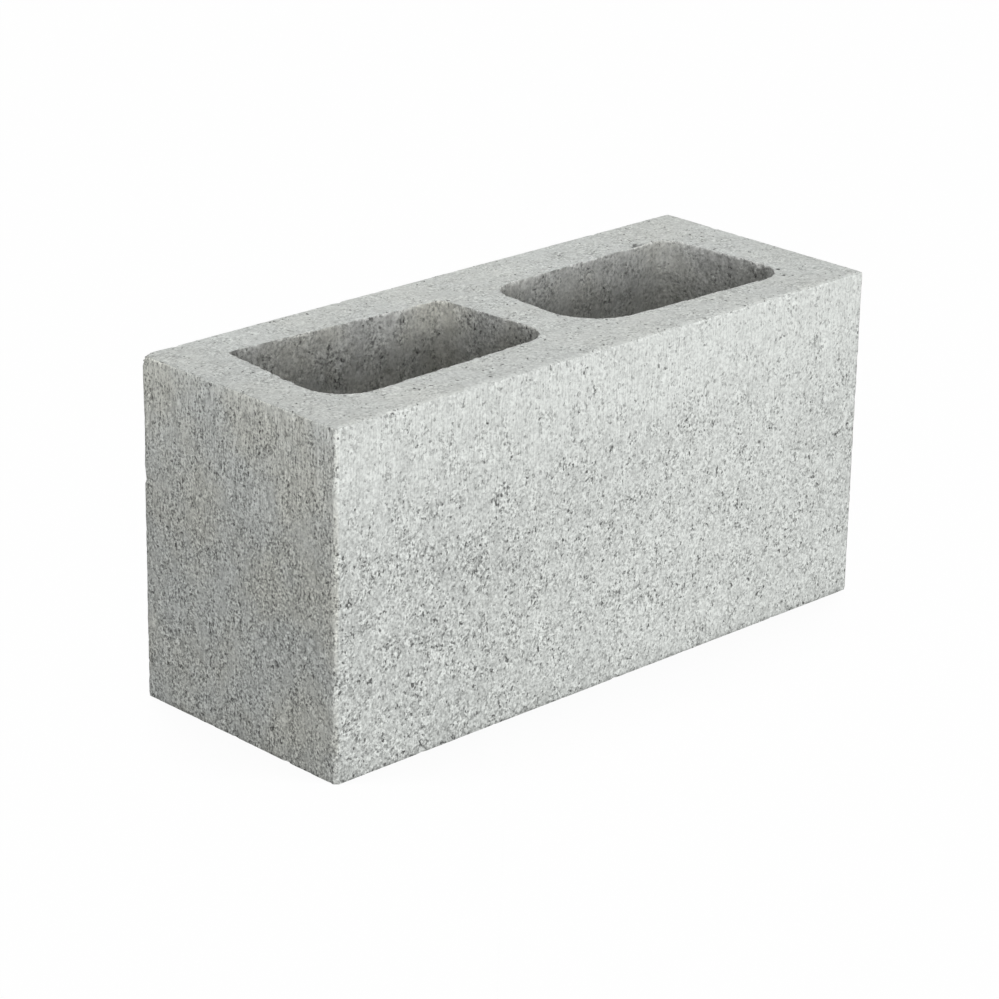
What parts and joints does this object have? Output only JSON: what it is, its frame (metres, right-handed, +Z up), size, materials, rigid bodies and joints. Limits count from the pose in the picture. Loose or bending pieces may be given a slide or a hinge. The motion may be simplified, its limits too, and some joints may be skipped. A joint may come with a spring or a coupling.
{
  "type": "hollow concrete block",
  "caption": "Plain-ended hollow concrete masonry block with tapered through cores between its face shells and webs, laid in mortared walls.",
  "frame": {"origin": "middle of the bottom bed face, on the floor", "axes": "+X along the wall, the block's length; +Y across the wall's thickness; +Z up through the cores"},
  "size_m": [0.39, 0.15, 0.19],
  "materials": {
    "concrete": "dry, matt, open-grained grey concrete with fine pits, pale grit and upright drag marks on the sides"
  },
  "bodies": {
    "root": {"concrete_block": "concrete"}
  },
  "joints": []
}
